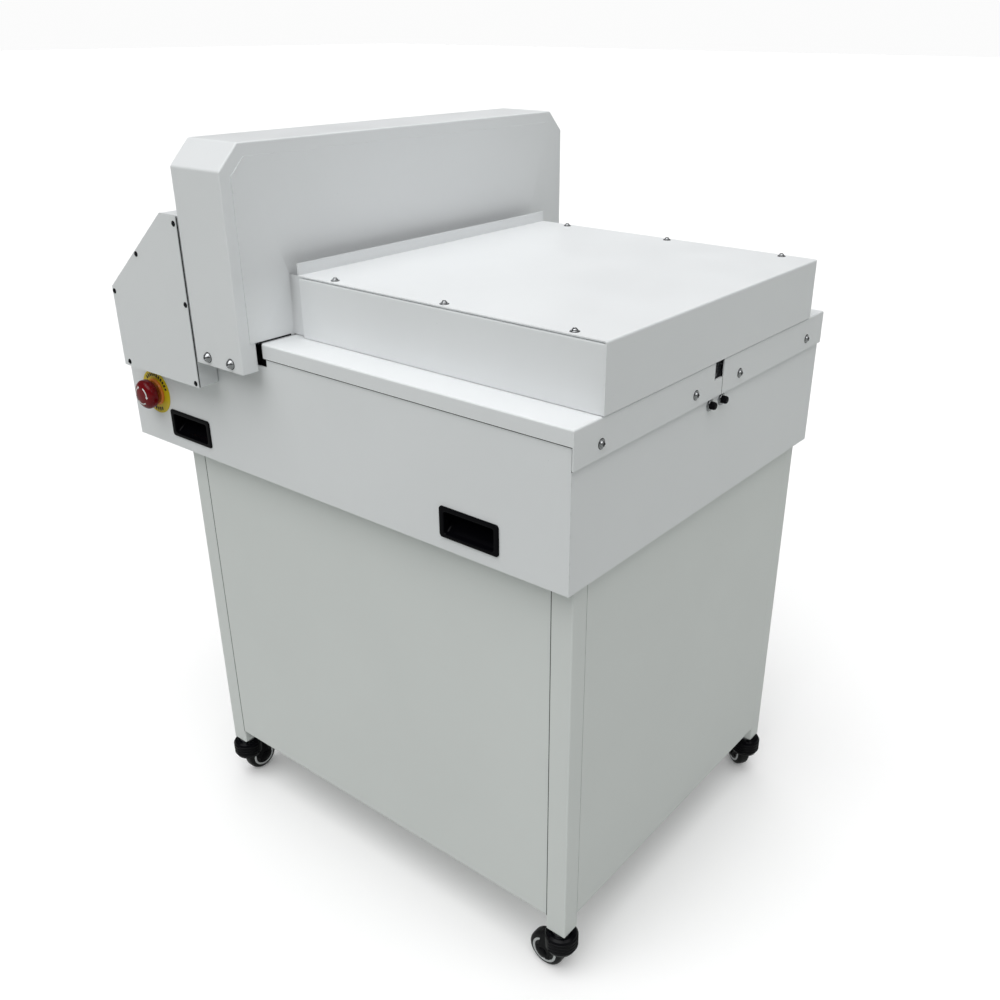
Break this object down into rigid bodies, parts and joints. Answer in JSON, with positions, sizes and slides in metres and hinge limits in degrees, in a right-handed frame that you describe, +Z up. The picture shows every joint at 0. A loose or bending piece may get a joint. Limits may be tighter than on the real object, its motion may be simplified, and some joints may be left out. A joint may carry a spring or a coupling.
{
  "type": "electric paper cutter",
  "caption": "Electric stack paper cutter on a cabinet stand with swivel casters: knife and clamp under a tall head, back gauge under a rear cover, clear front guard.",
  "frame": {"origin": "on the floor, under the middle of the machine's bounding box", "axes": "+X to the operator's right, -Y towards the operator, +Z up"},
  "size_m": [0.641, 0.768, 0.991],
  "materials": {
    "white_paint": "light grey-white powder coat with a fine orange peel",
    "black_plastic": "moulded black, slight sheen",
    "gloss_black": "glossy moulded black",
    "caster_black": "smooth moulded black",
    "wheel_tread": "black polyurethane tread with a silver hub ring",
    "steel": "machined",
    "dark_steel": "blackened steel",
    "chrome": "nickel-plated screw heads",
    "dark_screw": "black oxide",
    "cast_table": "ground top",
    "stick_red": "extruded",
    "motor_paint": "dark enamel",
    "belt_rubber": "toothed belt",
    "clear_plate": "clear polycarbonate",
    "stop_yellow": "printed yellow ring and body",
    "stop_red": "glossy dark red",
    "button_green": "glossy green",
    "switch_red": "rocker",
    "panel_dark": "membrane panel"
  },
  "bodies": {
    "body": {"cabinet_frame": "white_paint", "cabinet_sides": "white_paint", "cabinet_rear": "white_paint", "cabinet_floor": "white_paint", "caster_stems": "steel", "base_sides": "white_paint", "base_rear": "white_paint", "base_tray": "white_paint", "recess_handles": "gloss_black", "stop_switch": "stop_yellow", "fuse_holders": "black_plastic", "rear_table_right": "white_paint", "rear_table_left": "white_paint", "bed": "cast_table", "press_frame": "dark_steel", "cutting_stick": "stick_red", "gearmotor": "motor_paint", "clamp_motor": "motor_paint", "gauge_motor": "motor_paint", "gauge_rails": "dark_steel", "drive_belts": "belt_rubber", "console_boxes": "white_paint", "console_plates": "white_paint", "console_screws": "dark_screw", "panel_screws": "chrome", "head_shell": "white_paint", "head_rear_panel": "white_paint", "head_front_panel": "white_paint", "rear_cover": "white_paint", "cover_sides": "white_paint", "power_inlet": "black_plastic", "control_panel": "panel_dark"},
    "door": {"cabinet_door": "white_paint"},
    "stop_stem": {"stop_stem": "steel"},
    "stop_cap": {"stop_cap": "stop_red"},
    "fuse_cap_right": {"fuse_cap_right": "black_plastic"},
    "fuse_cap_left": {"fuse_cap_left": "black_plastic"},
    "knife": {"knife_bar": "dark_steel", "knife": "steel", "knife_bolts": "chrome", "pull_rod": "dark_steel"},
    "crank": {"drive_crank": "steel"},
    "clamp": {"clamp_bar": "dark_steel"},
    "clamp_screw": {"clamp_screw": "steel"},
    "backgauge": {"backgauge": "steel"},
    "leadscrew": {"leadscrew": "steel"},
    "guard": {"guard": "clear_plate"},
    "cut_button_right": {"cut_button_right": "button_green"},
    "cut_button_left": {"cut_button_left": "button_green"},
    "main_switch": {"main_switch": "switch_red"},
    "fork_front_right": {"caster_fork_front_right": "caster_black"},
    "wheel_front_right": {"caster_wheel_front_right": "wheel_tread"},
    "fork_front_left": {"caster_fork_front_left": "caster_black"},
    "wheel_front_left": {"caster_wheel_front_left": "wheel_tread"},
    "fork_rear_right": {"caster_fork_rear_right": "caster_black"},
    "wheel_rear_right": {"caster_wheel_rear_right": "wheel_tread"},
    "fork_rear_left": {"caster_fork_rear_left": "caster_black"},
    "wheel_rear_left": {"caster_wheel_rear_left": "wheel_tread"},
    "pedal_front_right": {"caster_pedal_front_right": "caster_black"},
    "pedal_front_left": {"caster_pedal_front_left": "caster_black"}
  },
  "joints": [
    {"name": "door_hinge", "type": "hinge", "parent": "body", "child": "door", "pos_m": [-0.234, -0.2885, 0.33], "axis": [0, 0, -1], "range_deg": [0, 100]},
    {"name": "stop_press", "type": "slide", "parent": "body", "child": "stop_stem", "axis": [-1, 0, 0], "range_m": [0, 0.004]},
    {"name": "stop_twist", "type": "hinge", "parent": "stop_stem", "child": "stop_cap", "pos_m": [0.298, -0.326, 0.6523], "axis": [1, 0, 0], "range_deg": [0, 45], "stiffness_Nm_per_rad": 0.02},
    {"name": "fuse_turn_right", "type": "hinge", "parent": "body", "child": "fuse_cap_right", "pos_m": [0.0125, 0.38, 0.713], "axis": [0, -1, 0], "range_deg": [0, 90]},
    {"name": "fuse_turn_left", "type": "hinge", "parent": "body", "child": "fuse_cap_left", "pos_m": [-0.0148, 0.38, 0.713], "axis": [0, -1, 0], "range_deg": [0, 90]},
    {"name": "knife_slide", "type": "slide", "parent": "body", "child": "knife", "axis": [-0.3, 0, -0.9539], "range_m": [0, 0.0655]},
    {"name": "crank_turn", "type": "hinge", "parent": "body", "child": "crank", "pos_m": [0.2045, -0.1446, 0.64875], "axis": [0, 1, 0], "range_deg": [0, 100]},
    {"name": "clamp_slide", "type": "slide", "parent": "body", "child": "clamp", "axis": [0, 0, -1], "range_m": [0, 0.056]},
    {"name": "clamp_screw_turn", "type": "hinge", "parent": "body", "child": "clamp_screw", "pos_m": [0, -0.122, 0.95], "axis": [0, 0, 1], "range_deg": [0, 2530]},
    {"name": "backgauge_slide", "type": "slide", "parent": "body", "child": "backgauge", "axis": [0, -1, 0], "range_m": [0, 0.405]},
    {"name": "leadscrew_turn", "type": "hinge", "parent": "body", "child": "leadscrew", "pos_m": [0, 0.1, 0.733], "axis": [0, 1, 0], "range_deg": [0, 14600]},
    {"name": "guard_hinge", "type": "hinge", "parent": "body", "child": "guard", "pos_m": [0, -0.203, 0.897], "axis": [-1, 0, 0], "range_deg": [0, 80]},
    {"name": "cut_press_right", "type": "slide", "parent": "body", "child": "cut_button_right", "axis": [0, 1, 0], "range_m": [0, 0.004], "stiffness_N_per_m": 700},
    {"name": "cut_press_left", "type": "slide", "parent": "body", "child": "cut_button_left", "axis": [0, 1, 0], "range_m": [0, 0.004], "stiffness_N_per_m": 700},
    {"name": "rocker_tilt", "type": "hinge", "parent": "body", "child": "main_switch", "pos_m": [-0.281, 0.325, 0.6535], "axis": [0, 1, 0], "range_deg": [0, 16]},
    {"name": "swivel_front_right", "type": "hinge", "parent": "body", "child": "fork_front_right", "pos_m": [0.253, -0.278, 0.06], "axis": [0, 0, 1], "continuous": true},
    {"name": "roll_front_right", "type": "hinge", "parent": "fork_front_right", "child": "wheel_front_right", "pos_m": [0.233, -0.278, 0.025], "axis": [0, -1, 0], "continuous": true},
    {"name": "swivel_front_left", "type": "hinge", "parent": "body", "child": "fork_front_left", "pos_m": [-0.253, -0.278, 0.06], "axis": [0, 0, 1], "continuous": true},
    {"name": "roll_front_left", "type": "hinge", "parent": "fork_front_left", "child": "wheel_front_left", "pos_m": [-0.23421, -0.27116, 0.025], "axis": [-0.342, 0.9397, 0], "continuous": true},
    {"name": "swivel_rear_right", "type": "hinge", "parent": "body", "child": "fork_rear_right", "pos_m": [0.253, 0.3535, 0.06], "axis": [0, 0, 1], "continuous": true},
    {"name": "roll_rear_right", "type": "hinge", "parent": "fork_rear_right", "child": "wheel_rear_right", "pos_m": [0.253, 0.3335, 0.025], "axis": [1, 0, 0], "continuous": true},
    {"name": "swivel_rear_left", "type": "hinge", "parent": "body", "child": "fork_rear_left", "pos_m": [-0.253, 0.3535, 0.06], "axis": [0, 0, 1], "continuous": true},
    {"name": "roll_rear_left", "type": "hinge", "parent": "fork_rear_left", "child": "wheel_rear_left", "pos_m": [-0.26447, 0.33712, 0.025], "axis": [0.8192, -0.5736, 0], "continuous": true},
    {"name": "brake_front_right", "type": "hinge", "parent": "fork_front_right", "child": "pedal_front_right", "pos_m": [0.223, -0.278, 0.0595], "axis": [0, -1, 0], "range_deg": [0, 14]},
    {"name": "brake_front_left", "type": "hinge", "parent": "fork_front_left", "child": "pedal_front_left", "pos_m": [-0.22481, -0.26774, 0.0595], "axis": [-0.342, 0.9397, 0], "range_deg": [0, 14]}
  ],
  "couplings": [
    {"joint": "crank_turn", "follows": "knife_slide", "rad_per_m": 26.638},
    {"joint": "clamp_screw_turn", "follows": "clamp_slide", "rad_per_m": 785.4},
    {"joint": "leadscrew_turn", "follows": "backgauge_slide", "rad_per_m": 628.32}
  ]
}
